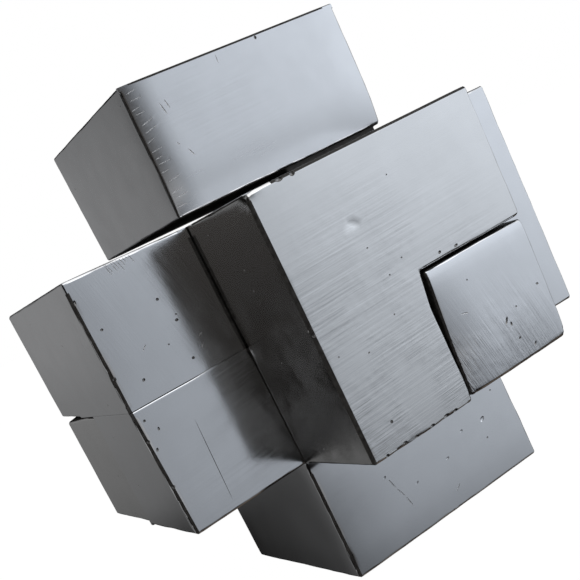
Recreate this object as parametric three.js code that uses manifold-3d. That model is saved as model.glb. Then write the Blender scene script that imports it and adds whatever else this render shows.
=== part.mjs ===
// Six-piece cross burr: a metal interlocking puzzle shaped like a three-dimensional cross.
// Units are millimetres. +X points to the right arm, -Y to the front arm, +Z to the top arm.
// The puzzle stands on the end of its bottom arm; the origin is the centre of the footprint.
//
// The cross is laid out on a grid of square-bar cells. Each axis has five grid lines, numbered 0 to 4:
// lines 1, 2 and 3 bound the 2 x 2 x 2 middle, and lines 0 and 4 are the ends of the two arms.
import * as THREE from "three";
import { RoundedBoxGeometry } from "three/addons/geometries/RoundedBoxGeometry.js";
import { mergeVertices } from "three/addons/utils/BufferGeometryUtils.js";
import Module from "manifold-3d";

const wasm = await Module();
wasm.setup();

// Driving dimensions
const BAR = 20; // thickness of the square bar every piece is cut from
const PLAY = 0.4; // air between the faces of neighbouring pieces
const PITCH = BAR + PLAY; // grid spacing inside the middle
const REACH = { left: 41.0, right: 42.4, front: 41.2, back: 41.0, foot: 41.4, top: 41.5 }; // centre to arm end
const EDGE_RADIUS = 0.4; // broken edge left by hand finishing
const EDGE_STEPS = 2; // facets around a quarter of the broken edge

// Fitting errors of a hand-finished puzzle
const CAP_LIFT = 1.05; // the top cap's peg is long, so the cap stands this far off its shoulders
const KEY_SLACK = 0.3; // cut off the key's top beyond the ordinary play
const LEG_SLACK = 0.9; // cut off the inner side of the elbow's lower leg
const PLUG_SLACK = 0.3; // cut off the side plug's end and underside
const PEG_SETBACK = 4; // cut off the two outer sides of the cap's peg, which keeps it out of sight

const GRID = {
  x: [-REACH.left, -PITCH, 0, PITCH, REACH.right],
  y: [-REACH.front, -PITCH, 0, PITCH, REACH.back],
  z: [-REACH.foot, -PITCH, 0, PITCH, REACH.top],
};
const ORIGIN = new THREE.Vector3(
  (REACH.right - REACH.left) / 2,
  (REACH.back - REACH.front) / 2,
  -REACH.foot,
);
const METAL = { color: 0xb9bdc4, metalness: 1, roughness: 0.38 };

// Where a face on grid line `line` of `axis` lies: arm ends lie on the line itself, and every other face
// stands back from its line by half the play. `inward` is +1 on the low side of a block and -1 on its high side.
function facePosition(axis, line, inward) {
  const isArmEnd = line === 0 || line === GRID[axis].length - 1;
  return GRID[axis][line] + (isArmEnd ? 0 : (inward * PLAY) / 2);
}

// Box geometry with broken edges, as a manifold solid. Bounds are [low, high] in millimetres on each axis.
function roundedBox(x, y, z) {
  const size = [x[1] - x[0], y[1] - y[0], z[1] - z[0]];
  const geometry = new RoundedBoxGeometry(...size, EDGE_STEPS, EDGE_RADIUS);
  geometry.translate((x[0] + x[1]) / 2, (y[0] + y[1]) / 2, (z[0] + z[1]) / 2);
  geometry.deleteAttribute("normal");
  geometry.deleteAttribute("uv");
  const merged = mergeVertices(geometry);
  return new wasm.Manifold(
    new wasm.Mesh({
      numProp: 3,
      vertProperties: new Float32Array(merged.attributes.position.array),
      triVerts: new Uint32Array(merged.index.array),
    }),
  );
}

// One straight block between pairs of grid lines. `trim` moves single faces, in millimetres along their axis.
function block({ x, y, z, trim = {} }) {
  const bounds = [["x", x], ["y", y], ["z", z]].map(([axis, [low, high]]) => [
    facePosition(axis, low, 1) + (trim[`${axis}Low`] ?? 0),
    facePosition(axis, high, -1) + (trim[`${axis}High`] ?? 0),
  ]);
  return roundedBox(...bounds);
}

// One puzzle piece: the union of its blocks, as a named mesh standing on the ground plane.
function piece(name, blocks) {
  const solid = blocks.map(block).reduce((whole, next) => whole.add(next));
  const { vertProperties, triVerts } = solid.getMesh();
  const geometry = new THREE.BufferGeometry();
  geometry.setAttribute("position", new THREE.Float32BufferAttribute(vertProperties, 3));
  geometry.setIndex([...triVerts]);
  geometry.translate(-ORIGIN.x, -ORIGIN.y, -ORIGIN.z);
  geometry.computeVertexNormals();
  const mesh = new THREE.Mesh(geometry, new THREE.MeshStandardMaterial(METAL));
  mesh.name = name;
  mesh.material.name = name;
  return mesh;
}

// Stands on the ground. Bottom arm, lower front quarter of the left arm, and a hook around the rear arm.
function footBlock() {
  return piece("foot_block", [
    { x: [1, 3], y: [1, 3], z: [0, 1] }, // bottom arm
    { x: [1, 2], y: [1, 2], z: [0, 2] }, // front post up into the middle
    { x: [0, 2], y: [1, 2], z: [1, 2] }, // bar out along the left arm
    { x: [2, 3], y: [2, 3], z: [0, 2] }, // rear post up into the middle
    { x: [2, 3], y: [2, 4], z: [1, 2] }, // bar out along the rear arm
    { x: [2, 3], y: [3, 4], z: [1, 3] }, // riser of the hook
    { x: [1, 3], y: [3, 4], z: [2, 3] }, // top of the hook
  ]);
}

// Upper half of the left arm, a bar straight through the middle, and the whole right arm.
function crossBeam() {
  return piece("cross_beam", [
    { x: [0, 1], y: [1, 3], z: [2, 3] }, // left slab
    { x: [0, 4], y: [2, 3], z: [2, 3] }, // through bar
    { x: [3, 4], y: [1, 3], z: [1, 3] }, // right arm
  ]);
}

// Three quarters of the front arm in an L, with a peg into the middle.
function frontElbow() {
  return piece("front_elbow", [
    { x: [1, 3], y: [0, 1], z: [2, 3] }, // upper leg of the L
    { x: [1, 2], y: [0, 1], z: [1, 3], trim: { xHigh: -LEG_SLACK } }, // left leg of the L
    { x: [1, 2], y: [0, 2], z: [2, 3] }, // peg
  ]);
}

// Straight square key in the last quarter of the front arm, reaching the middle.
function frontKey() {
  return piece("front_key", [{ x: [2, 3], y: [0, 2], z: [1, 2], trim: { zHigh: -KEY_SLACK } }]);
}

// The top arm. Its peg is long enough to stand on the key, which holds the cap off its shoulders.
function topCap() {
  const capTrim = { zLow: CAP_LIFT, zHigh: CAP_LIFT };
  const pegTrim = { xHigh: -PEG_SETBACK, yLow: PEG_SETBACK, zLow: -KEY_SLACK, zHigh: CAP_LIFT };
  return piece("top_cap", [
    { x: [1, 3], y: [1, 3], z: [3, 4], trim: capTrim }, // cap
    { x: [2, 3], y: [1, 2], z: [2, 4], trim: pegTrim }, // peg
  ]);
}

// Lower rear quarter of the left arm, with a tail that turns into the rear arm.
function sidePlug() {
  return piece("side_plug", [
    { x: [0, 2], y: [2, 3], z: [1, 2], trim: { xLow: PLUG_SLACK, zLow: PLUG_SLACK } }, // bar
    { x: [1, 2], y: [2, 4], z: [1, 2], trim: { zLow: PLUG_SLACK } }, // tail
  ]);
}

const burr = new THREE.Group();
burr.name = "six_piece_cross_burr";
burr.add(footBlock(), crossBeam(), frontElbow(), frontKey(), topCap(), sidePlug());

export default burr;
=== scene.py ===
"""Six-piece metal cross burr: worn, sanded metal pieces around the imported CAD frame."""

import itertools
import math
import random

import bmesh
import bpy
import numpy as np
from mathutils import Matrix, Vector, noise


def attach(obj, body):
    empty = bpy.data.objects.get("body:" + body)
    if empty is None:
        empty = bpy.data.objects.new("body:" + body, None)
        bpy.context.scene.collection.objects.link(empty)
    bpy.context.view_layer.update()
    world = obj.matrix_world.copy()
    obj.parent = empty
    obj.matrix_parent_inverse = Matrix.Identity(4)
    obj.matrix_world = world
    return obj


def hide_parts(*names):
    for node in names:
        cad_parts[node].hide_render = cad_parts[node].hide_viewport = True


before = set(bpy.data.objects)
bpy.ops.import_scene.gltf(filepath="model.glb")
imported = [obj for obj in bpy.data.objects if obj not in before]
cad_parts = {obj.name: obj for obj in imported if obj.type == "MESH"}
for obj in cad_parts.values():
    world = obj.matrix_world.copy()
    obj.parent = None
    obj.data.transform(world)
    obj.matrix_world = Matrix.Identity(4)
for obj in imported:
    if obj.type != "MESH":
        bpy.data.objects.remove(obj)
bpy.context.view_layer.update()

# ---------------------------------------------------------------- dimensions, in millimetres
MM = 0.001
BAR = 20.0  # square bar thickness
PLAY = 0.4  # air between neighbouring pieces
PITCH = BAR + PLAY
FACE = PITCH - PLAY / 2  # from the centre to the side faces of the arms
REACH = {"left": 41.0, "right": 42.4, "front": 41.2, "back": 41.0, "foot": 41.4, "top": 41.5}
CAP_LIFT = 1.05  # the cap stands this far off its shoulders
KEY_SLACK = 0.3  # cut off the underside of the cap's peg, above the key
LEG_SLACK = 0.9  # cut off the inner side of the elbow's lower leg
PLUG_SLACK = 0.3  # cut off the side plug's end and underside
PEG_SETBACK = 1.0  # cut off the two outer sides of the cap's peg
GRID = (
    (-REACH["left"], -PITCH, 0.0, PITCH, REACH["right"]),
    (-REACH["front"], -PITCH, 0.0, PITCH, REACH["back"]),
    (-REACH["foot"], -PITCH, 0.0, PITCH, REACH["top"]),
)
# Places below are counted from the centre of the cross; the frame's origin is under the bottom arm.
ORIGIN = np.array(
    [(REACH["right"] - REACH["left"]) / 2, (REACH["back"] - REACH["front"]) / 2, -REACH["foot"]]
)
X, Y, Z = range(3)
LOW, HIGH = range(2)

# Seams that are closer than the play: faces inside these pieces are moved towards each other.
SNUG = 0.195
KEY_TOP = -0.25  # the key fills its slot a little better than the play allows
ELBOW_DROP = 0.15  # the elbow's upper leg reaches this much further down towards the key
SLAB_REACH = 0.3  # the left slab's end reaches this much further towards the elbow's peg

# Each piece: CAD body, and blocks as (x lines, y lines, z lines, {(axis, side): trim}).
PIECES = {
    "foot_block": ("base", [
        ((1, 3), (1, 3), (0, 1), {}),
        ((1, 2), (1, 2), (0, 2), {}),
        ((0, 2), (1, 2), (1, 2), {(Y, HIGH): SNUG, (Z, HIGH): SNUG}),
        ((2, 3), (2, 3), (0, 2), {}),
        ((2, 3), (2, 4), (1, 2), {}),
        ((2, 3), (3, 4), (1, 3), {}),
        ((1, 3), (3, 4), (2, 3), {}),
    ]),
    "cross_beam": ("base", [
        ((0, 1), (1, 3), (2, 3), {(X, HIGH): SLAB_REACH, (Z, LOW): -SNUG}),
        ((0, 4), (2, 3), (2, 3), {(Z, LOW): -SNUG}),
        ((3, 4), (1, 3), (1, 3), {}),
    ]),
    "front_elbow": ("elbow", [
        ((1, 3), (0, 1), (2, 3), {(Z, LOW): -ELBOW_DROP}),
        ((1, 2), (0, 1), (1, 3), {(X, HIGH): -LEG_SLACK}),
        ((1, 2), (0, 2), (2, 3), {}),
    ]),
    "front_key": ("key", [
        ((2, 3), (0, 2), (1, 2), {(Z, HIGH): KEY_TOP + PLAY / 2}),
    ]),
    "top_cap": ("cap", [
        ((1, 3), (1, 3), (3, 4), {(Z, LOW): CAP_LIFT, (Z, HIGH): CAP_LIFT}),
        ((2, 3), (1, 2), (2, 4), {
            (X, HIGH): -PEG_SETBACK, (Y, LOW): PEG_SETBACK, (Z, LOW): -KEY_SLACK, (Z, HIGH): CAP_LIFT,
        }),
    ]),
    "side_plug": ("plug", [
        ((0, 2), (2, 3), (1, 2), {(X, LOW): PLUG_SLACK, (Y, LOW): -SNUG, (Z, LOW): PLUG_SLACK}),
        ((1, 2), (2, 4), (1, 2), {(Z, LOW): PLUG_SLACK}),
    ]),
}

# Hand finishing left no arm quite square. Each lean moves the outer corners of one arm; a corner is the
# low or high side on each axis, and the arm's other corners stay where they are.
LEFT_TOP = ((-REACH["left"], -FACE, 0.0), (-PITCH, FACE, FACE))
LEFT_LOW = ((-REACH["left"], -FACE, -FACE), (-PITCH, 0.0, 0.0))
FOOT = ((-FACE, -FACE, -REACH["foot"]), (FACE, FACE, -PITCH))
FRONT = ((-FACE, -REACH["front"], -FACE), (FACE, -PITCH, FACE))
FRONT_TOP = ((-FACE, -REACH["front"], 0.0), (FACE, -PITCH, FACE))
KEY = ((PLAY / 2, -REACH["front"], -FACE), (FACE, -PITCH, KEY_TOP))
RIGHT = ((PITCH, -FACE, -FACE), (REACH["right"], FACE, FACE))
CAP_TOP = REACH["top"] + CAP_LIFT
TOP = ((-FACE, -FACE, PITCH), (FACE, FACE, CAP_TOP))
LEANS = {
    "cross_beam": [
        (LEFT_TOP, {(0, 0, 1): (-0.1, 0.0, 0.35), (0, 1, 1): (0.0, 0.5, 0.3)}),
        (RIGHT, {(1, 0, 1): (0.2, 0.0, 0.2), (1, 0, 0): (-0.5, 0.0, -0.8)}),
    ],
    "foot_block": [
        (LEFT_LOW, {(0, 0, 0): (0.45, 0.0, -0.35)}),
        (FOOT, {
            (0, 0, 0): (-0.25, 0.0, 0.4), (1, 0, 0): (0.15, 0.0, 0.15), (0, 1, 0): (0.0, -0.3, -0.3),
        }),
    ],
    "front_elbow": [
        (FRONT, {(1, 0, 1): (0.8, 0.0, 0.0), (0, 0, 1): (0.3, 0.0, 0.0)}),
        (FRONT_TOP, {(1, 0, 1): (0.0, 0.0, 0.65)}),
    ],
    "front_key": [
        (KEY, {
            (0, 0, 0): (-0.7, 0.0, 0.4), (0, 0, 1): (0.2, 0.0, 0.0), (1, 0, 0): (-0.4, 0.0, 0.4),
            (1, 0, 1): (0.3, 0.0, -0.1),
        }),
    ],
    "top_cap": [
        (TOP, {
            (0, 0, 1): (0.3, 0.0, -0.15), (1, 0, 1): (0.25, 0.0, 0.2), (1, 0, 0): (-0.3, 0.0, 0.3),
            (0, 0, 0): (-0.15, 0.0, -0.1), (0, 1, 1): (0.0, 1.0, 0.0),
        }),
    ],
}

# Rolled-off margins of faces: (face axis, face side, face place, edge axis, edge side, edge place, width,
# depth, fade), where fade is None or (axis, place where the roll ends, place from where on it is full).
ROLLS = {
    "top_cap": [
        (Y, LOW, -FACE, X, LOW, -FACE, 5.0, 0.68, None),
        (Y, LOW, -FACE, X, HIGH, FACE, 5.0, 0.10, None),
        (Y, LOW, -FACE, Z, LOW, PITCH + CAP_LIFT, 8.5, 0.7, None),
        (Z, HIGH, CAP_TOP, Y, LOW, -FACE, 1.2, 0.35, None),
    ],
    "front_key": [
        (Y, LOW, -REACH["front"], X, LOW, 0.2, 7.0, 1.0, (Z, -2.0, -13.0)),
        (Y, LOW, -REACH["front"], Z, LOW, -FACE, 8.0, 0.22, None),
        (Y, LOW, -REACH["front"], Z, HIGH, KEY_TOP, 1.9, 0.22, None),
    ],
    "foot_block": [
        (Y, LOW, -FACE, X, LOW, -FACE, 7.0, 0.34, (Z, -PITCH, -PITCH - 1)),
        (Y, LOW, -FACE, Z, LOW, -REACH["foot"], 7.0, 0.10, None),
        (Y, LOW, -FACE, Z, HIGH, 0.0, 0.4, 0.22, (X, -26.0, -30.0)),
    ],
    "front_elbow": [
        (Y, LOW, -REACH["front"], Z, LOW, -FACE, 6.0, 0.05, None),
        (Z, HIGH, FACE, Y, LOW, -REACH["front"], 0.6, 0.12, None),
    ],
}

# Places worn out of line: (centre, reach on each axis, shift)
FAR = 1000.0
PUSHES = {
    "front_elbow": [
        ((-PLAY / 2 - LEG_SLACK, -REACH["front"], PLAY / 2), (4.0, FAR, 5.4), (0.8, 0.0, 0.0)),
        ((FACE, -REACH["front"], 0.05), (0.9, 6.0, 0.9), (-0.12, 0.0, 0.14)),
        ((-FACE, -REACH["front"], FACE), (1.5, 1.5, 1.5), (0.3, 0.45, -0.3)),
        ((-FACE, -PITCH, -FACE), (FAR, 0.9, 24.0), (0.0, 0.36, 0.0)),
    ],
    "front_key": [((FACE, -REACH["front"], KEY_TOP), (0.9, 6.0, 0.9), (-0.1, 0.0, -0.12))],
    "cross_beam": [((-REACH["left"], FACE, 0.0), (4.0, 13.0, 3.0), (0.0, 0.0, 0.4))],
    "side_plug": [((-REACH["left"], FACE, -PLAY / 2), (4.0, 13.0, 3.0), (0.0, 0.0, -0.7))],
}

# Edges knocked about more than the rest: (low corner, high corner, extra radius, raggedness)
RAGGED = {
    "cross_beam": [((-42, -21, 1), (-40, -19, 17), 0.1, 0.3)],
    "foot_block": [((-42, -21, -19), (-40, -19, -1), 0.14, 0.3),
                   ((-21, -21, -40), (-19, -19, -22), 0.1, 0.3)],
    "front_elbow": [((-21, -42, -19), (-19, -40, 17), 0.1, 0.25),
                    ((-16, -42, -21), (-2, -40, -19), 0.0, 0.3)],
    "front_key": [((1, -42, -21), (21, -40, -19), 0.2, 0.1)],
}
# Strips along edges and seams painted dark as shade: (low corner, high corner) around the strip on both
# sides of the edge
EDGE_SHADE_WIDTH = 0.5
EDGE_SHADE_STRIPS = {
    "cross_beam": [((-42, -21, -1), (-REACH["left"] + EDGE_SHADE_WIDTH, -FACE + 0.3, 18.6)),
                   ((-PITCH - 0.4, -21, -1), (-19, -FACE + 0.3, 18.6))],
    "foot_block": [((-42, -21, -21), (-REACH["left"] + EDGE_SHADE_WIDTH, -FACE + 0.3, 1)),
                   ((-21, -21, -42), (-FACE + EDGE_SHADE_WIDTH, -FACE + 0.3, -PITCH - 2))],
    "front_elbow": [((-21, -42, -21), (-FACE + EDGE_SHADE_WIDTH, -REACH["front"] + EDGE_SHADE_WIDTH, 19.0)),
                    ((-15.8, -42, FACE - 0.3), (21, -REACH["front"] + 0.4, 21))],
    "top_cap": [((-21, -21, 21), (-FACE + 0.3, -FACE + 0.2, 41)),
                ((-18, -21, CAP_TOP - 0.25), (18, -FACE + 0.2, 43))],
    "front_key": [((0, -42, -19), (PLAY / 2 + 0.3, -REACH["front"] + 0.4, KEY_TOP - 1))],
}
# Edges along a seam that is worked flush are left sharp: (low corner, high corner)
SHARP = {
    "cross_beam": [((-FAR, -FAR, -FAR), (-PITCH + 1, 8, 1)),
                   ((-PITCH - 1, -FAR, -FAR), (-PITCH + 1, FAR, FAR))],
    "foot_block": [((-FAR, -FAR, -1), (-PITCH + 1, FAR, 1)), ((-FAR, -1, -FAR), (-PITCH, 1, FAR))],
    "top_cap": [((-FAR, -FAR, CAP_TOP - 1), (FAR, -FACE + 1, FAR))],
    "front_elbow": [((-FAR, -PITCH - 1.2, -FAR), (-FACE + 1, FAR, FAR))],
}
SHARP_RADIUS = 0.02
EDGE_RADIUS = 0.34
EDGE_VARIATION = 0.12
EDGE_NOISE = (0.25, 1.3)  # coarse and fine unevenness of the edges, in waves per mm
EDGE_POWER = 1.2  # between a flat bevel, 1, and a round, 2
ROUND = 2.0
CROWN_RADIUS = 4.5  # sanding rolls the faces off over this distance from an edge
CROWN_SHARE = {"top_cap": 0.05, "front_key": 0.04}
USUAL_CROWN = 0.03
FLUSH_DEPTH = 8.0  # the left arm's seam is flush from the front to this far behind the centre
ROLL_REACH = 2.5  # a roll moves only points this close to its face
WAVE = 0.018  # unevenness of the sanded faces
WAVE_LENGTH = 9.0
WAVE_SHIFT = 31.0  # keeps the waves on the three axes apart
EDGE_OFFSETS = (0.0, 0.1, 0.2, 0.3, 0.4, 0.5, 0.7, 1.0, 1.6)  # mesh lines beside an edge
FACE_STEP = 1.3  # spacing of the mesh lines further in
INNER_REACH = 41.1  # surfaces nearer to the centre than this, between the pieces, are inside
PROBE = 0.5  # how far outside a face its surroundings are tested
METAL_SLOT, PAINTED_SHADE_SLOT, DARK_SLOT, BRIGHT_SLOT = range(4)  # sanded, painted shade on inner faces and edge strips, darker pits, fresh scratches


def block_bounds(block):
    """Low and high corner of a block, in millimetres from the centre of the cross."""
    bounds = np.zeros((2, 3))
    for axis in range(3):
        for side in (LOW, HIGH):
            line = block[axis][side]
            value = GRID[axis][line]
            if line not in (0, 4):
                value += PLAY / 2 * (1 if side == LOW else -1)
            bounds[side, axis] = value + block[3].get((axis, side), 0.0)
    return bounds


def fine_coordinates(low, high):
    """Coordinates from low to high, close together near both ends."""
    half = (high - low) / 2
    offsets = [o for o in EDGE_OFFSETS if o < half - 0.05]
    last = offsets[-1]
    count = max(1, round((half - last) / FACE_STEP))
    offsets += [last + (half - last) * i / count for i in range(1, count + 1)]
    lows = [low + o for o in offsets]
    highs = [high - o for o in reversed(offsets[:-1])]
    return lows + highs


def opened(points, boxes, radius, power=ROUND):
    """The points moved onto the shape with its convex edges broken: rounded at power 2, flat at power 1."""
    best = np.full(len(points), np.inf)
    nearest = points.copy()
    r = np.broadcast_to(np.asarray(radius, float).reshape(-1, 1), (len(points), 1))
    for low, high in boxes:
        q = np.minimum(np.maximum(points, low + r), high - r)
        distance = np.linalg.norm(points - q, axis=1)
        closer = distance < best
        nearest[closer] = q[closer]
        best[closer] = distance[closer]
    away = points - nearest
    length = np.maximum((np.abs(away) ** power).sum(axis=1, keepdims=True) ** (1 / power), 1e-9)
    return nearest + away / length * np.minimum(length, r)


def grid_lines(planes):
    """Fine mesh lines on one axis, and the first and last line of each cell between two planes."""
    lines, spans = [planes[0]], []
    for low, high in zip(planes, planes[1:]):
        start = len(lines) - 1
        lines += fine_coordinates(low, high)[1:]
        spans.append((start, len(lines) - 1))
    return lines, spans


def filled_cells(planes, boxes):
    """Which cells between the planes lie inside a box. There is an empty layer all around them."""
    shape = [len(p) - 1 for p in planes]
    inside = np.zeros([n + 2 for n in shape], bool)
    for cell in np.ndindex(*shape):
        middle = [(planes[a][cell[a]] + planes[a][cell[a] + 1]) / 2 for a in range(3)]
        inside[tuple(c + 1 for c in cell)] = any(
            all(low[a] < middle[a] < high[a] for a in range(3)) for low, high in boxes
        )
    return inside


def side_quads(cell, axis, side, spans):
    """The quads on one side of a cell. Each corner is a triple of mesh lines."""
    u, v = (axis + 1) % 3, (axis + 2) % 3
    for i in range(*spans[u][cell[u]]):
        for j in range(*spans[v][cell[v]]):
            quad = []
            for a, b in ((i, j), (i + 1, j), (i + 1, j + 1), (i, j + 1)):
                corner = [0, 0, 0]
                corner[axis], corner[u], corner[v] = spans[axis][cell[axis]][side], a, b
                quad.append(tuple(corner))
            yield quad if side == HIGH else quad[::-1]


def block_surface(boxes):
    """Vertices and quads of the union of the boxes, on a grid that is fine near edges."""
    planes = [sorted({round(float(b[s][a]), 5) for b in boxes for s in (LOW, HIGH)}) for a in range(3)]
    lines, spans = zip(*[grid_lines(p) for p in planes])
    inside = filled_cells(planes, boxes)
    index, vertices, quads = {}, [], []
    for place in np.argwhere(inside):
        for axis, side in itertools.product(range(3), (LOW, HIGH)):
            neighbour = place.copy()
            neighbour[axis] += 1 if side == HIGH else -1
            if inside[tuple(neighbour)]:
                continue
            for quad in side_quads(place - 1, axis, side, spans):
                for corner in quad:
                    if corner not in index:
                        index[corner] = len(vertices)
                        vertices.append([lines[a][corner[a]] for a in range(3)])
                quads.append([index[corner] for corner in quad])
    return np.array(vertices), quads


def noise_at(points, scale):
    """Noise between -1 and 1 at each point."""
    return np.array([noise.noise(Vector(p * scale)) for p in points])


def within(points, low, high):
    """Which of the points lie between the two corners."""
    return np.all((points > low) & (points < high), axis=1)


def edge_radius(name, points):
    """Edge radius at each point: uneven, ragged where knocked, sharp along the flush seams."""
    coarse, fine = (noise_at(points, scale) for scale in EDGE_NOISE)
    radius = EDGE_RADIUS + EDGE_VARIATION * (coarse + 0.5 * fine)
    for low, high, extra, raggedness in RAGGED.get(name, ()):
        knocked = within(points, low, high)
        radius[knocked] += extra + raggedness * fine[knocked]
    for low, high in SHARP.get(name, ()):
        radius[within(points, low, high)] = SHARP_RADIUS
    return np.maximum(radius, SHARP_RADIUS)


def leaned(points, lean):
    """The points with one arm's outer corners moved, and the rest of the arm in proportion."""
    (low, high), corners = lean
    t = np.clip((points - low) / (np.array(high) - low), 0.0, 1.0)
    moved = points.copy()
    for corner, shift in corners.items():
        weight = np.prod([t[:, a] if corner[a] else 1 - t[:, a] for a in range(3)], axis=0)
        moved += weight[:, None] * np.array(shift)
    return moved


def rolled(points, roll):
    """The points with one margin of one face rolled inwards."""
    face_axis, face_side, face_place, edge_axis, edge_side, edge_place, width, depth, fade = roll
    from_edge = np.abs(points[:, edge_axis] - edge_place)
    from_face = np.abs(points[:, face_axis] - face_place)
    beyond = (points[:, edge_axis] - edge_place) * (1 if edge_side == HIGH else -1) > 1.0
    amount = depth * np.clip(1 - from_edge / width, 0, 1) ** 2
    amount *= np.clip(1 - from_face / ROLL_REACH, 0, 1)
    amount[beyond] = 0.0
    if fade:
        axis, start, full = fade
        amount *= np.clip((points[:, axis] - start) / (full - start), 0, 1)
    moved = points.copy()
    moved[:, face_axis] += amount * (1 if face_side == LOW else -1)
    return moved


def pushed(points, push):
    """The points moved by the shift at the centre, and less and less towards the reach."""
    centre, reach, shift = push
    weight = np.prod(np.clip(1 - np.abs(points - centre) / np.array(reach), 0, 1), axis=1)
    return points + weight[:, None] * np.array(shift)


def worn(name, boxes, points):
    """Where each point of the plain blocks ends up on the worn piece."""
    edged = opened(points, boxes, edge_radius(name, points), EDGE_POWER)
    crowned = opened(points, boxes, CROWN_RADIUS)
    share = np.full((len(points), 1), CROWN_SHARE.get(name, USUAL_CROWN))
    if name in ("foot_block", "cross_beam"):  # no crown along the flush seam of the left arm
        beside = (points[:, X] < -PITCH) & (points[:, Y] < FLUSH_DEPTH)
        share[beside, 0] *= np.clip(np.abs(points[beside, Z]) / CROWN_RADIUS, 0, 1)
    result = edged * (1 - share) + crowned * share
    for roll in ROLLS.get(name, ()):
        result = rolled(result, roll)
    for push in PUSHES.get(name, ()):
        result = pushed(result, push)
    for lean in LEANS.get(name, ()):
        result = leaned(result, lean)
    waves = [noise_at(points + WAVE_SHIFT * (axis + 1), 1 / WAVE_LENGTH) for axis in range(3)]
    return result + WAVE * np.array(waves).T


def is_inner(point):
    """Whether a point lies inside the closed cross, between the pieces; faces there are painted dark as
    shade.
    """
    size = np.abs(point)
    arms = [all(size[a] < FACE for a in range(3) if a != axis) for axis in range(3)]
    return any(arms) and all(size < INNER_REACH)


def in_edge_shade(name, point):
    """Whether a point of the plain blocks lies on a strip painted dark as shade."""
    return any(all(low < point) and all(point < high) for low, high in EDGE_SHADE_STRIPS.get(name, ()))


def worn_piece(name, blocks):
    """A sanded metal piece that stands for the CAD node of the same shape."""
    boxes = [block_bounds(b) for b in blocks]
    points, quads = block_surface(boxes)
    mesh = bpy.data.meshes.new("worn_" + name)
    mesh.from_pydata(((worn(name, boxes, points) - ORIGIN) * MM).tolist(), [], quads)
    mesh.update()
    for polygon, quad in zip(mesh.polygons, quads):
        polygon.use_smooth = True
        corners = points[quad]
        middle = corners.mean(axis=0)
        normal = np.cross(corners[1] - corners[0], corners[2] - corners[0])
        outside = middle + PROBE * normal / np.linalg.norm(normal)
        # Faces inside the cross and strips along edges and seams are painted dark as shade.
        in_painted_shade = is_inner(outside) or in_edge_shade(name, middle)
        polygon.material_index = PAINTED_SHADE_SLOT if in_painted_shade else METAL_SLOT
    piece = bpy.data.objects.new("worn_" + name, mesh)
    bpy.context.scene.collection.objects.link(piece)
    return piece, boxes
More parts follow.
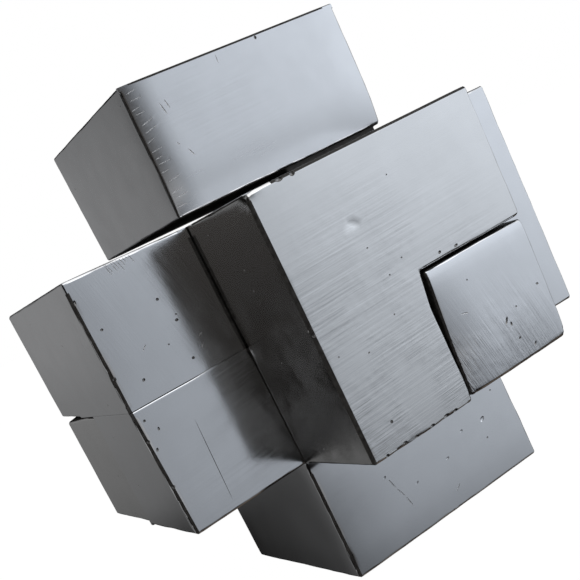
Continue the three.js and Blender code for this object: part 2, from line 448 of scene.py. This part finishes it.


# ---------------------------------------------------------------- pits, scratches and dents

# Marks on the front faces: (x, z, length, width, depth, turn in degrees)
MARKS = {
    "top_cap": [
        (-15.2, 37.2, 2.2, 0.24, 0.08, -77), (-14.3, 37.6, 1.6, 0.2, 0.07, -77),
        (-14.0, 29.8, 1.5, 0.24, 0.08, -64), (-15.4, 31.7, 0.7, 0.24, 0.08, -58),
        (-3.5, 41.0, 1.6, 0.16, 0.06, 88), (4.3, 42.0, 0.7, 0.5, 0.3, 80),
    ],
    "front_elbow": [
        (-7.2, 10.2, 2.3, 1.2, 0.05, -25), (-6.8, 6.4, 0.3, 0.24, 0.1, 0),
        (-5.3, 1.7, 0.28, 0.26, 0.1, 0), (-7.3, -3.4, 0.28, 0.25, 0.1, 0),
        (-13.5, -6.2, 0.35, 0.25, 0.1, 20), (-18.0, -4.6, 0.3, 0.24, 0.1, 0),
        (-14.9, -16.1, 0.55, 0.45, 0.25, 0), (-20.0, -0.4, 0.8, 0.6, 0.3, 30),
        (3.9, 1.0, 0.6, 0.45, 0.2, 20), (7.0, 0.7, 0.8, 0.4, 0.2, 10), (-9.2, -20.0, 1.0, 0.6, 0.35, 5),
        (-6.4, -20.0, 1.3, 0.7, 0.35, 0), (-14.3, -19.8, 0.9, 0.5, 0.3, 0),
        (-2.6, 3.0, 0.28, 0.22, 0.1, 0), (1.0, 14.0, 0.3, 0.2, 0.1, 30),
        (-12.5, 20.0, 0.9, 0.8, 0.4, 0), (-14.6, 20.1, 1.3, 0.7, 0.4, 0),
    ],
    "front_key": [
        (18.2, -10.6, 0.6, 0.35, 0.15, -20), (4.0, -8.7, 1.3, 0.25, 0.07, -15),
        (10.3, -13.0, 1.3, 0.4, 0.22, 55), (10.9, -13.8, 0.7, 0.4, 0.2, 85),
        (11.4, -16.4, 0.5, 0.35, 0.18, 0), (13.8, -18.5, 0.8, 0.35, 0.18, 50),
        (12.9, -11.9, 0.35, 0.3, 0.12, 0), (6.5, -4.5, 0.3, 0.3, 0.1, 0),
    ],
    "cross_beam": [
        (-29.4, 12.5, 0.5, 0.45, 0.22, 0), (-38.8, 12.1, 0.5, 0.4, 0.18, 0),
        (-28.2, 8.6, 0.6, 0.45, 0.22, 0), (-27.9, 9.4, 0.3, 0.3, 0.14, 0),
        (-28.6, 2.6, 0.5, 0.45, 0.22, 0), (-36.8, 3.2, 0.55, 0.45, 0.2, 30),
        (-40.4, 17.0, 0.8, 0.4, 0.2, 80), (-31.0, 6.0, 0.3, 0.25, 0.1, 0),
        (-34.5, 7.2, 1.1, 0.16, 0.06, 40), (-40.6, 5.2, 0.8, 0.6, 0.4, 0),
        (-26.5, 3.6, 0.9, 0.16, 0.06, 50), (-25.9, 5.2, 0.8, 0.14, 0.05, 35),
    ],
    "foot_block": [
        (-39.6, -1.9, 0.45, 0.4, 0.2, 0), (-38.3, -3.9, 0.6, 0.35, 0.15, 80),
        (-40.6, -4.8, 0.7, 0.6, 0.3, 0), (-40.0, -6.4, 0.6, 0.4, 0.2, 60),
        (-40.6, -12.2, 0.8, 0.7, 0.35, 0), (-33.2, -11.9, 14.0, 0.1, 0.12, 87),
        (12.8, -30.5, 1.2, 0.7, 0.098, 25), (8.0, -30.2, 0.7, 0.4, 0.08, 20),
        (3.3, -32.8, 0.8, 0.4, 0.09, 10), (-3.9, -33.3, 0.8, 0.3, 0.09, 20),
        (-8.9, -29.4, 0.7, 0.35, 0.09, 30), (12.2, -33.8, 0.4, 0.3, 0.1, 0),
        (2.8, -38.2, 1.6, 0.18, 0.05, 35), (-8.1, -31.0, 2.1, 0.22, 0.08, -72),
        (-7.3, -33.1, 2.1, 0.22, 0.08, -66), (-6.6, -35.2, 2.1, 0.22, 0.08, -76),
        (16.8, -27.0, 0.4, 0.3, 0.1, 0),
    ],
}
# Chips along the lower edge of the elbow's front
CHIPS = 3
CHIPS_FROM, CHIPS_TO = -17.0, -5.5
CHIP_LENGTH, CHIP_WIDTH = (0.5, 1.3), (0.5, 0.9)
CHIP_DEPTH = (0.25, 0.45)  # as a share of the width
CHIP_SPREAD, CHIP_TURN = 0.22, 8  # unevenness of the spacing, as a share of it, and of the turn
# Short bright scratches down the left margin of the cap's front
SCUFFS = 15
SCUFFS_FROM, SCUFFS_HEIGHT = 23.4, 18.2
SCUFF_START = -19.9
SCUFF_LENGTH, SCUFF_WIDTH, SCUFF_TURN = (1.2, 2.8), (0.11, 0.16), (0, 22)
SCUFF_DEPTH = 0.45  # as a share of the width
# Longer scratches that run down from the upper edge of the left slab's front
SLAB_SCRATCHES = 9
SLAB_FROM, SLAB_STEP = -34.4, 0.5
SLAB_LENGTH, SLAB_TURN = (1.0, 4.5), -74
SLAB_WIDTH, SLAB_DEPTH = 0.13, 0.03
# Pits on each face that has no listed marks
OTHER_PITS = 2
OTHER_PIT_SIZE = (0.2, 0.4)
PIT_MARGIN = 1.0
SEED = 5
DARK_PIT_DEPTH = 0.1  # marks from this depth on are darker and rougher inside
FRESH_WIDTH = 0.3  # shallow marks narrower than this are bright inside
CUTTER_LIFT = 0.5  # how far out of the face a cutter's centre stands, as a share of its height
SHARP_ANGLE = 15  # degrees between two faces that make an edge look sharp


def add_ellipsoid(cutter, centre, along, normal_axis, outward, width, depth, angle):
    """One ellipsoid cutter that dips into a face. Its long axis lies along the vector given."""
    u, v = [a for a in range(3) if a != normal_axis]
    across, inward = Vector((0, 0, 0)), Vector((0, 0, 0))
    across[u], across[v] = -math.sin(angle), math.cos(angle)
    inward[normal_axis] = 1.0
    if along.cross(across).dot(inward) < 0:
        across.negate()
    opening = math.sqrt(1 - CUTTER_LIFT ** 2)
    height = depth / (1 - CUTTER_LIFT)
    axes = (along / 2 / opening, across * width / 2 / opening, inward * height)
    place = Matrix.Translation((Vector(centre) + outward * height * CUTTER_LIFT - Vector(ORIGIN)) * MM)
    place = place @ (Matrix(axes).transposed() * MM).to_4x4()
    bmesh.ops.create_uvsphere(cutter, u_segments=12, v_segments=8, radius=1.0, matrix=place)


def mark_slot(width, depth):
    """Material slot for the inside of a mark of this size."""
    if depth >= DARK_PIT_DEPTH:
        return DARK_SLOT
    return BRIGHT_SLOT if width < FRESH_WIDTH else METAL_SLOT


def marks_mesh(name, boxes, marks):
    """Mesh of the cutters. Each mark: face axis, face place, two places in the face, sizes, turn."""
    cutter = bmesh.new()
    for axis, place, first, second, length, width, depth, turn in marks:
        u, v = [a for a in range(3) if a != axis]
        angle = math.radians(turn)
        points = np.zeros((3, 3))  # start, centre and end of the mark
        points[:, axis] = place
        for row, reach in enumerate((-length / 2, 0.0, length / 2)):
            points[row, u] = first + reach * math.cos(angle)
            points[row, v] = second + reach * math.sin(angle)
        start, centre, end = worn(name, boxes, points)
        outward = Vector((0, 0, 0))
        outward[axis] = 1 if place > 0 else -1
        add_ellipsoid(cutter, centre, Vector(end - start), axis, outward, width, depth, angle)
        for face in cutter.faces:
            if not face.tag:
                face.material_index = mark_slot(width, depth)
                face.tag = True
    mesh = bpy.data.meshes.new("marks")
    cutter.to_mesh(mesh)
    cutter.free()
    mesh.shade_smooth()
    return mesh


def cut_marks(piece, name, boxes, marks):
    """Cuts the marks into the piece."""
    tool = bpy.data.objects.new("marks", marks_mesh(name, boxes, marks))
    bpy.context.scene.collection.objects.link(tool)
    cut = piece.modifiers.new("marks", "BOOLEAN")
    cut.object, cut.operation, cut.solver = tool, "DIFFERENCE", "EXACT"
    for cut.use_self in (False, True):  # the slower way is for marks that cross each other
        bpy.context.view_layer.update()
        evaluated = piece.evaluated_get(bpy.context.evaluated_depsgraph_get())
        result = bpy.data.meshes.new_from_object(evaluated)
        if len(result.polygons) > len(piece.data.polygons):
            break
    piece.modifiers.clear()
    piece.data = result
    bpy.data.objects.remove(tool)


def sharpen(mesh):
    """Marks steep edges and the rims of the marks as sharp."""
    mesh.set_sharp_from_angle(angle=math.radians(SHARP_ANGLE))
    faces = bmesh.new()
    faces.from_mesh(mesh)
    for edge in faces.edges:
        if len({face.material_index for face in edge.link_faces}) == 2:
            edge.smooth = False
    faces.to_mesh(mesh)
    faces.free()


def front_marks(name):
    """The listed marks, each on the front face that it lies on."""
    place = -REACH["front"] if name in ("front_elbow", "front_key") else -FACE
    return [(Y, place, *mark) for mark in MARKS.get(name, ())]


def scuffs(generator):
    """Short diagonal scratches down the left margin of the cap's front."""
    marks = []
    for i in range(SCUFFS):
        z = SCUFFS_FROM + SCUFFS_HEIGHT * (i + generator.uniform(-0.3, 0.3)) / (SCUFFS - 1)
        length = generator.uniform(*SCUFF_LENGTH)
        x = SCUFF_START + 0.5 * length + generator.uniform(0.0, 0.5)
        width = generator.uniform(*SCUFF_WIDTH)
        marks.append((Y, -FACE, x, z, length, width, SCUFF_DEPTH * width, generator.uniform(*SCUFF_TURN)))
    return marks


def slab_scratches(generator):
    """Scratches of uneven length that start at the upper edge of the left slab's front."""
    marks = []
    for i in range(SLAB_SCRATCHES):
        x = SLAB_FROM + SLAB_STEP * i + generator.uniform(-0.12, 0.12)
        length = generator.uniform(*SLAB_LENGTH)
        turn = SLAB_TURN + generator.uniform(-4, 4)
        x, z = x + 0.15 * length, FACE - 0.48 * length
        marks.append((Y, -FACE, x, z, length, SLAB_WIDTH, SLAB_DEPTH, turn))
    return marks


def edge_chips(generator):
    """Small chips, spaced so that they do not run into each other, along the elbow's lower edge."""
    chips = []
    step = (CHIPS_TO - CHIPS_FROM) / (CHIPS - 1)
    for i in range(CHIPS):
        length = generator.uniform(*CHIP_LENGTH)
        width = generator.uniform(*CHIP_WIDTH)
        depth = generator.uniform(*CHIP_DEPTH) * width
        x = CHIPS_FROM + (i + generator.uniform(-CHIP_SPREAD, CHIP_SPREAD)) * step
        turn = generator.uniform(-CHIP_TURN, CHIP_TURN)
        chips.append((Y, -REACH["front"], x, -FACE, length, width, depth, turn))
    return chips


def stray_pits(boxes, generator):
    """A few pits on each outer face that has no listed marks."""
    marks = []
    faces = [(a, s) for a in range(3) for s in (LOW, HIGH) if (a, s) != (Y, LOW)]
    for low, high in boxes:
        for axis, side in faces:
            u, v = [a for a in range(3) if a != axis]
            place = (low, high)[side][axis]
            for _ in range(OTHER_PITS):
                first = generator.uniform(low[u] + PIT_MARGIN, high[u] - PIT_MARGIN)
                second = generator.uniform(low[v] + PIT_MARGIN, high[v] - PIT_MARGIN)
                size = generator.uniform(*OTHER_PIT_SIZE)
                outside = np.zeros(3)
                outside[u], outside[v] = first, second
                outside[axis] = place + (PROBE if side == HIGH else -PROBE)
                buried = any(within(outside[None], *box)[0] for box in boxes)
                if not buried and not is_inner(outside):
                    marks.append((axis, place, first, second, size, size * 0.8, size * 0.24, 0))
    return marks


# ---------------------------------------------------------------- materials

class Nodes:
    """Short names for building a node tree."""

    def __init__(self, tree):
        self.tree = tree
        self.links = tree.links

    def add(self, kind, **settings):
        node = self.tree.nodes.new(kind)
        for key, value in settings.items():
            setattr(node, key, value)
        return node

    def put(self, socket, value):
        if isinstance(value, bpy.types.NodeSocket):
            self.links.new(value, socket)
        else:
            socket.default_value = value

    def math(self, operation, a, b=0.0, clamp=False):
        node = self.add("ShaderNodeMath", operation=operation, use_clamp=clamp)
        self.put(node.inputs[0], a)
        self.put(node.inputs[1], b)
        return node.outputs[0]

    def vector(self, operation, a, b=(0.0, 0.0, 0.0)):
        node = self.add("ShaderNodeVectorMath", operation=operation)
        self.put(node.inputs[0], a)
        self.put(node.inputs[1], b)
        return node.outputs["Value" if operation in ("DISTANCE", "DOT_PRODUCT") else "Vector"]

    def noise(self, vector, scale, detail=2.0, roughness=0.5):
        node = self.add("ShaderNodeTexNoise")
        self.put(node.inputs["Vector"], vector)
        self.put(node.inputs["Scale"], scale)
        self.put(node.inputs["Detail"], detail)
        self.put(node.inputs["Roughness"], roughness)
        return node.outputs[0]

    def ramp(self, value, stops):
        node = self.add("ShaderNodeValToRGB")
        elements = node.color_ramp.elements
        while len(elements) < len(stops):
            elements.new(0.5)
        for element, (position, colour) in zip(elements, stops):
            element.position = position
            element.color = (*colour, 1.0) if len(colour) == 3 else colour
        self.put(node.inputs[0], value)
        return node.outputs[0]

    def remap(self, value, low, high, to_low=0.0, to_high=1.0, smooth=False):
        node = self.add("ShaderNodeMapRange", interpolation_type="SMOOTHSTEP" if smooth else "LINEAR")
        for socket, number in zip(node.inputs[:5], (value, low, high, to_low, to_high)):
            self.put(socket, number)
        return node.outputs[0]

    def mix(self, factor, a, b, blend="MIX"):
        node = self.add("ShaderNodeMix", data_type="RGBA", blend_type=blend)
        self.put(node.inputs[0], factor)
        self.put(node.inputs[6], a)
        self.put(node.inputs[7], b)
        return node.outputs[2]


# Noise of the sanding lines: how finely it repeats across and along the lines, detail, roughness
LINES = (3.2, 0.06, 4.0, 0.72)
FINE_LINES = (7.0, 0.25, 2.0, 0.65)
FINE_SHARE = 0.4  # height of the fine lines, as a share of the height of the others
# Other noises: scale, detail, roughness
PATCHES = (0.13, 3.0, 0.55)  # where the lines are deep
CLOUD = (0.24, 2.0, 0.5)  # faint stains
GRAIN = (3.6, 2.0, 0.6)
GRAIN_HEIGHT = 0.26
# The values between which each noise has its effect
PATCHES_RANGE, CLOUD_RANGE = (0.36, 0.6), (0.35, 0.7)
LINE_SHADE_RANGE, LINE_ROUGHNESS_RANGE = (0.36, 0.64), (0.4, 0.7)
PATCHES_FLOOR = 0.35  # depth of the lines between the patches, as a share
CLOUD_DIM = 0.975  # share of the light in the faint stains
LINE_STEP = 0.01  # mm that one unit of height stands for
LINE_SHADE = (1.07, 0.80)  # share of the light between the lines and in them, where they are full
FULL_SHADE_DEPTH = 5.0  # depth of the lines from which that shade is full
LINE_ROUGHNESS = 0.10  # added in the lines
BUSY_FLOOR = 0.05  # depth of the lines far from the busy place, as a share
SEED_SHIFT = (13.7, 7.3, 5.1)  # mm between the noise of one piece and of the next
WHITE = (1.0, 1.0, 1.0, 1.0)


def new_metal(name, metallic):
    """A metal to build on: its material, its nodes, its shader, and each point's place in mm."""
    material = bpy.data.materials.new(name)
    material.use_nodes = True
    material.node_tree.nodes.clear()
    n = Nodes(material.node_tree)
    output = n.add("ShaderNodeOutputMaterial")
    shader = n.add("ShaderNodeBsdfPrincipled")
    n.links.new(shader.outputs[0], output.inputs[0])
    shader.inputs["Metallic"].default_value = metallic
    place = n.vector("MULTIPLY", n.add("ShaderNodeTexCoord").outputs["Object"], (1 / MM,) * 3)
    return material, n, shader, place


def add_bump(n, shader, height, strength, distance):
    """Bumps on the shader; distance is what one unit of height stands for, in mm."""
    bump = n.add("ShaderNodeBump")
    bump.inputs["Strength"].default_value = strength
    bump.inputs["Distance"].default_value = distance * MM
    n.put(bump.inputs["Height"], height)
    n.put(shader.inputs["Normal"], bump.outputs[0])


def line_noise(n, place, line_axis, lines):
    """Noise that is drawn out along one axis."""
    across, along, detail, roughness = lines
    stretch = [across] * 3
    stretch[line_axis] = along
    return n.noise(n.vector("MULTIPLY", place, tuple(stretch)), 1.0, detail, roughness)


def sanded_metal(name, along, slant, lines_depth, busy, busy_radius, tint, roughness, seed, stain_and_reflection=None):
    """Sanded metal. along: the axis that the sanding lines follow, turned by slant degrees in the front
    face. busy: the place, in mm from the cross's centre, around which the lines are deepest.
    The last argument is a darker patch, partly a stain and partly painted dark reflection: (place, radius
    of the full patch, radius where it ends, share of the light that it leaves)."""
    material, n, shader, place = new_metal(name, 1.0)
    from_centre = n.vector("ADD", place, tuple(float(v) for v in ORIGIN))
    mm = n.vector("ADD", from_centre, tuple(seed * shift for shift in SEED_SHIFT))
    turned = n.add("ShaderNodeVectorRotate", rotation_type="Y_AXIS")
    n.put(turned.inputs["Vector"], mm)
    turned.inputs["Angle"].default_value = math.radians(slant)
    lines = line_noise(n, turned.outputs[0], along, LINES)
    fine_lines = line_noise(n, turned.outputs[0], along, FINE_LINES)
    patches = n.noise(mm, *PATCHES)
    grain = n.noise(mm, *GRAIN)
    cloud = n.noise(mm, *CLOUD)

    away = n.vector("DISTANCE", from_centre, busy)
    deep = n.remap(away, busy_radius * 0.35, busy_radius, 1.0, BUSY_FLOOR, smooth=True)
    where = n.math("MULTIPLY", n.remap(patches, *PATCHES_RANGE, PATCHES_FLOOR, 1.0, smooth=True), deep)

    dim = tuple(t * CLOUD_DIM for t in tint)
    colour = n.mix(n.remap(cloud, *CLOUD_RANGE), (*tint, 1.0), (*dim, 1.0))
    strength = n.math("MULTIPLY", where, min(1.0, lines_depth / FULL_SHADE_DEPTH))
    shade = n.mix(strength, WHITE, n.remap(lines, *LINE_SHADE_RANGE, *LINE_SHADE))
    colour = n.mix(1.0, colour, shade, "MULTIPLY")
    # A darker patch: partly a stain, partly painted dark reflection.
    if stain_and_reflection:
        centre, full, end, left_over = stain_and_reflection
        away = n.vector("DISTANCE", from_centre, centre)
        stain_and_reflection_share = n.remap(away, full, end, left_over, 1.0, smooth=True)
        colour = n.mix(1.0, colour, stain_and_reflection_share, "MULTIPLY")
    n.put(shader.inputs["Base Color"], colour)
    rough = n.remap(cloud, *CLOUD_RANGE, roughness - 0.01, roughness + 0.015)
    added = n.remap(lines, *LINE_ROUGHNESS_RANGE, 0.0, LINE_ROUGHNESS)
    n.put(shader.inputs["Roughness"], n.math("ADD", rough, n.math("MULTIPLY", added, where)))

    height = n.math("MULTIPLY", n.math("MULTIPLY", lines, where), lines_depth)
    fine_height = n.math("MULTIPLY", n.math("MULTIPLY", fine_lines, where), lines_depth * FINE_SHARE)
    height = n.math("ADD", height, fine_height)
    height = n.math("ADD", height, n.math("MULTIPLY", grain, GRAIN_HEIGHT))
    add_bump(n, shader, height, 1.0, LINE_STEP)
    return material


def dark_shade_metal(name):
    """Painted shade for the inner faces and the edge strips: dark metal with a coarse grain."""
    material, n, shader, place = new_metal(name, 0.7)
    grain = n.noise(place, 1.2, 4.0, 0.65)
    colour = n.ramp(grain, [(0.3, (0.035, 0.032, 0.03)), (0.75, (0.10, 0.095, 0.09))])
    n.put(shader.inputs["Base Color"], colour)
    n.put(shader.inputs["Roughness"], n.remap(grain, 0.3, 0.7, 0.45, 0.65))
    add_bump(n, shader, grain, 0.6, 0.05)
    return material


def plain_metal(name, tint, roughness):
    """Metal without sanding lines, for the walls of pits and scratches."""
    material = bpy.data.materials.new(name)
    material.use_nodes = True
    shader = material.node_tree.nodes["Principled BSDF"]
    shader.inputs["Metallic"].default_value = 1.0
    shader.inputs["Base Color"].default_value = (*tint, 1.0)
    shader.inputs["Roughness"].default_value = roughness
    return material


BLUISH = (0.86, 0.872, 0.895)
NEUTRAL = (0.87, 0.873, 0.877)
FINISH = {
    # The foot block's darker patch is painted dark reflection on its left end and a stain on its front's
    # left margin.
    "foot_block": dict(along=X, slant=4, lines_depth=0.4, busy=(-22.0, -20.0, -15.0), busy_radius=26.0,
                       tint=BLUISH, roughness=0.12, seed=1,
                       stain_and_reflection=((-20.2, 2.0, -31.0), 19.0, 26.0, 0.5)),
    "cross_beam": dict(along=Z, slant=12, lines_depth=0.5, busy=(-33.0, -20.0, 12.0), busy_radius=18.0,
                       tint=BLUISH, roughness=0.12, seed=2),
    "front_elbow": dict(along=X, slant=2, lines_depth=5.0, busy=(-11.0, -41.0, -15.0), busy_radius=38.0,
                        tint=NEUTRAL, roughness=0.13, seed=3),
    "front_key": dict(along=Z, slant=13, lines_depth=8.0, busy=(7.0, -41.0, -20.0), busy_radius=17.0,
                      tint=BLUISH, roughness=0.15, seed=4),
    "top_cap": dict(along=X, slant=3, lines_depth=0.5, busy=(-10.0, -20.0, 26.0), busy_radius=24.0,
                    tint=BLUISH, roughness=0.19, seed=5),
    "side_plug": dict(along=X, slant=0, lines_depth=0.5, busy=(-30.0, 0.0, -20.0), busy_radius=26.0,
                      tint=NEUTRAL, roughness=0.17, seed=6),
}

generator = random.Random(SEED)
# Dark metal that paints shade on the inner faces and the edge strips.
shade_painted_material = dark_shade_metal("painted_shade_inner_and_edges")
pit_metal = plain_metal("darker_pit_metal", (0.46, 0.45, 0.44), 0.35)
scratch_metal = plain_metal("fresh_scratch_metal", (0.95, 0.95, 0.96), 0.62)
for node_name, (body, blocks) in PIECES.items():
    piece, boxes = worn_piece(node_name, blocks)
    piece.data.materials.append(sanded_metal("metal_" + node_name, **FINISH[node_name]))
    for material in (shade_painted_material, pit_metal, scratch_metal):
        piece.data.materials.append(material)
    marks = front_marks(node_name) + stray_pits(boxes, generator)
    if node_name == "top_cap":
        marks += scuffs(generator)
    if node_name == "cross_beam":
        marks += slab_scratches(generator)
    cut_marks(piece, node_name, boxes, marks)
    if node_name == "front_elbow":
        cut_marks(piece, node_name, boxes, edge_chips(generator))
    sharpen(piece.data)
    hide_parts(node_name)
    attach(piece, body)

# ---------------------------------------------------------------- surroundings

def direction(azimuth, elevation):
    """Unit vector; azimuth is counted from +X towards +Y."""
    a, e = math.radians(azimuth), math.radians(elevation)
    return (math.cos(e) * math.cos(a), math.cos(e) * math.sin(a), math.sin(e))


def glow(w, ray, azimuth, elevation, stops):
    """Light that depends on the angle from one direction. stops are (degrees, colour)."""
    cosine = w.vector("DOT_PRODUCT", ray, direction(azimuth, elevation))
    degrees = w.math("MULTIPLY", w.math("ARCCOSINE", cosine), 180 / math.pi)
    return w.ramp(w.math("DIVIDE", degrees, 180.0), [(d / 180.0, c) for d, c in stops])


def tinted(level, tint):
    """Light of a level, as a colour."""
    return tuple(level * t for t in tint)


GREY = (1.0, 1.0, 1.0)
WARM = (1.08, 1.0, 0.92)
COOL = (0.93, 0.99, 1.07)
BROWN = (1.25, 1.0, 0.8)
# The soft studio around the puzzle, as the polished faces see it: (azimuth, elevation, tint, stops)
GLOWS = (
    # the large window that lights the fronts
    (-40, 12, COOL, [(0, 0.88), (10, 0.83), (15, 0.76), (20, 0.66), (24, 0.57), (28, 0.49), (33, 0.41),
                     (36, 0.35), (40, 0.27), (45, 0.165), (51, 0.05), (60, 0.0)]),
    # the dim room
    (-116, 18, WARM, [(0, 0.06), (14, 0.045), (18, 0.036), (22, 0.024), (27, 0.008), (31, 0.0)]),
    # the wall that the left-hand ends see
    (104, 4, GREY, [(0, 0.235), (6, 0.225), (9, 0.18), (13, 0.15), (16.5, 0.125), (18, 0.07),
                    (19.5, 0.015), (23, 0.0)]),
    (121, -17, GREY, [(0, 0.15), (4, 0.14), (6, 0.12), (8.5, 0.08), (12, 0.02), (15, 0.0)]),  # table's edge
    (-78, -17, COOL, [(0, 0.13), (7, 0.09), (14, 0.0)]),  # window sill
    (20, -62, BROWN, [(0, 0.09), (14, 0.07), (22, 0.02), (28, 0.0)]),  # table below
    (-60, 62, GREY, [(0, 1.2), (22, 1.1), (31, 0.4), (38, 0.06), (44, 0.0)]),  # lamp above
    (2, 0, GREY, [(0, 0.35), (11, 0.28), (16, 0.05), (20, 0.0)]),  # fill from the right
    (-92, -9, GREY, [(0, 0.30), (8, 0.24), (13, 0.05), (16, 0.0)]),  # fill from the front
    (78, -10, GREY, [(0, 0.32), (10, 0.25), (16, 0.05), (20, 0.0)]),  # fill from behind
    (177, -8, GREY, [(0, 0.30), (12, 0.22), (18, 0.04), (21, 0.0)]),  # fill from the left
    (153, -12, GREY, [(0, 0.28), (10, 0.20), (16, 0.04), (19, 0.0)]),  # fill from the left, behind
    (45, 2, GREY, [(0, 0.30), (16, 0.24), (26, 0.06), (34, 0.0)]),  # fill from the right, behind
    (165, 42, GREY, [(0, 0.30), (18, 0.18), (30, 0.0)]),  # fill from above, left
    (90, 70, GREY, [(0, 0.30), (15, 0.20), (24, 0.0)]),  # fill from above, behind
)
BELOW = 0.005  # what is left everywhere else


def make_world():
    """The studio light, with plain white behind the puzzle."""
    world = bpy.data.worlds.new("studio")
    bpy.context.scene.world = world
    world.use_nodes = True
    world.node_tree.nodes.clear()
    w = Nodes(world.node_tree)
    ray = w.vector("NORMALIZE", w.add("ShaderNodeTexCoord").outputs["Generated"])
    total = (*tinted(BELOW, WARM), 1.0)
    for azimuth, elevation, tint, stops in GLOWS:
        stops = [(degrees, tinted(level, tint)) for degrees, level in stops + [(180, 0.0)]]
        total = w.mix(1.0, total, glow(w, ray, azimuth, elevation, stops), "ADD")
    lit = w.add("ShaderNodeBackground")
    w.put(lit.inputs[0], total)
    seen = w.add("ShaderNodeBackground")
    w.put(seen.inputs[0], WHITE)
    choose = w.add("ShaderNodeMixShader")
    w.put(choose.inputs[0], w.add("ShaderNodeLightPath").outputs["Is Camera Ray"])
    w.links.new(lit.outputs[0], choose.inputs[1])
    w.links.new(seen.outputs[0], choose.inputs[2])
    w.links.new(choose.outputs[0], w.add("ShaderNodeOutputWorld").inputs[0])


def make_floor():
    """A white floor that the metal does not reflect."""
    bpy.ops.mesh.primitive_grid_add(size=FLOOR_SIZE, x_subdivisions=2, y_subdivisions=2)
    floor = bpy.context.object
    floor.name = "floor"
    floor.visible_glossy = False
    material = bpy.data.materials.new("pale_floor")
    material.use_nodes = True
    material.node_tree.nodes.clear()
    n = Nodes(material.node_tree)
    matt = n.add("ShaderNodeBsdfDiffuse")
    n.put(matt.inputs[0], (0.9, 0.9, 0.9, 1.0))
    shine = n.add("ShaderNodeEmission")
    n.put(shine.inputs[0], WHITE)
    n.put(shine.inputs[1], FLOOR_GLOW)
    both = n.add("ShaderNodeMixShader")
    n.put(both.inputs[0], FLOOR_GLOW_SHARE)
    n.links.new(matt.outputs[0], both.inputs[1])
    n.links.new(shine.outputs[0], both.inputs[2])
    n.links.new(both.outputs[0], n.add("ShaderNodeOutputMaterial").inputs[0])
    floor.data.materials.append(material)


FLOOR_SIZE = 6.0
FLOOR_GLOW, FLOOR_GLOW_SHARE = 1.03, 0.97
make_world()
make_floor()

# ---------------------------------------------------------------- camera

FOCAL_SHARE = 975.7 / 580  # focal length as a share of the frame's width
SHIFT = (-0.0517, 0.1379)
SENSOR = 36.0
NEAR_LIMIT = 0.005  # metres in front of the camera, from where it sees
CAMERA_RIGHT = Vector((0.77213, -0.46311, -0.43513))
CAMERA_DOWN = Vector((-0.46009, 0.06489, -0.8855))
CAMERA_AHEAD = Vector((0.43832, 0.88392, -0.16297))
CAMERA_PLACE = Vector((-77.96, -155.57, 16.31)) - Vector(ORIGIN)  # mm, row frame


def make_camera():
    """The camera of the photograph, fitted to the puzzle's corners."""
    data = bpy.data.cameras.new("camera")
    camera = bpy.data.objects.new("camera", data)
    bpy.context.scene.collection.objects.link(camera)
    data.sensor_width = SENSOR
    data.lens = FOCAL_SHARE * SENSOR
    data.shift_x, data.shift_y = SHIFT
    data.clip_start = NEAR_LIMIT
    turn = Matrix((CAMERA_RIGHT, -CAMERA_DOWN, -CAMERA_AHEAD)).transposed()
    camera.matrix_world = Matrix.Translation(CAMERA_PLACE * MM) @ turn.to_4x4()
    bpy.context.scene.camera = camera
    bpy.context.scene.view_settings.view_transform = "Standard"


make_camera()
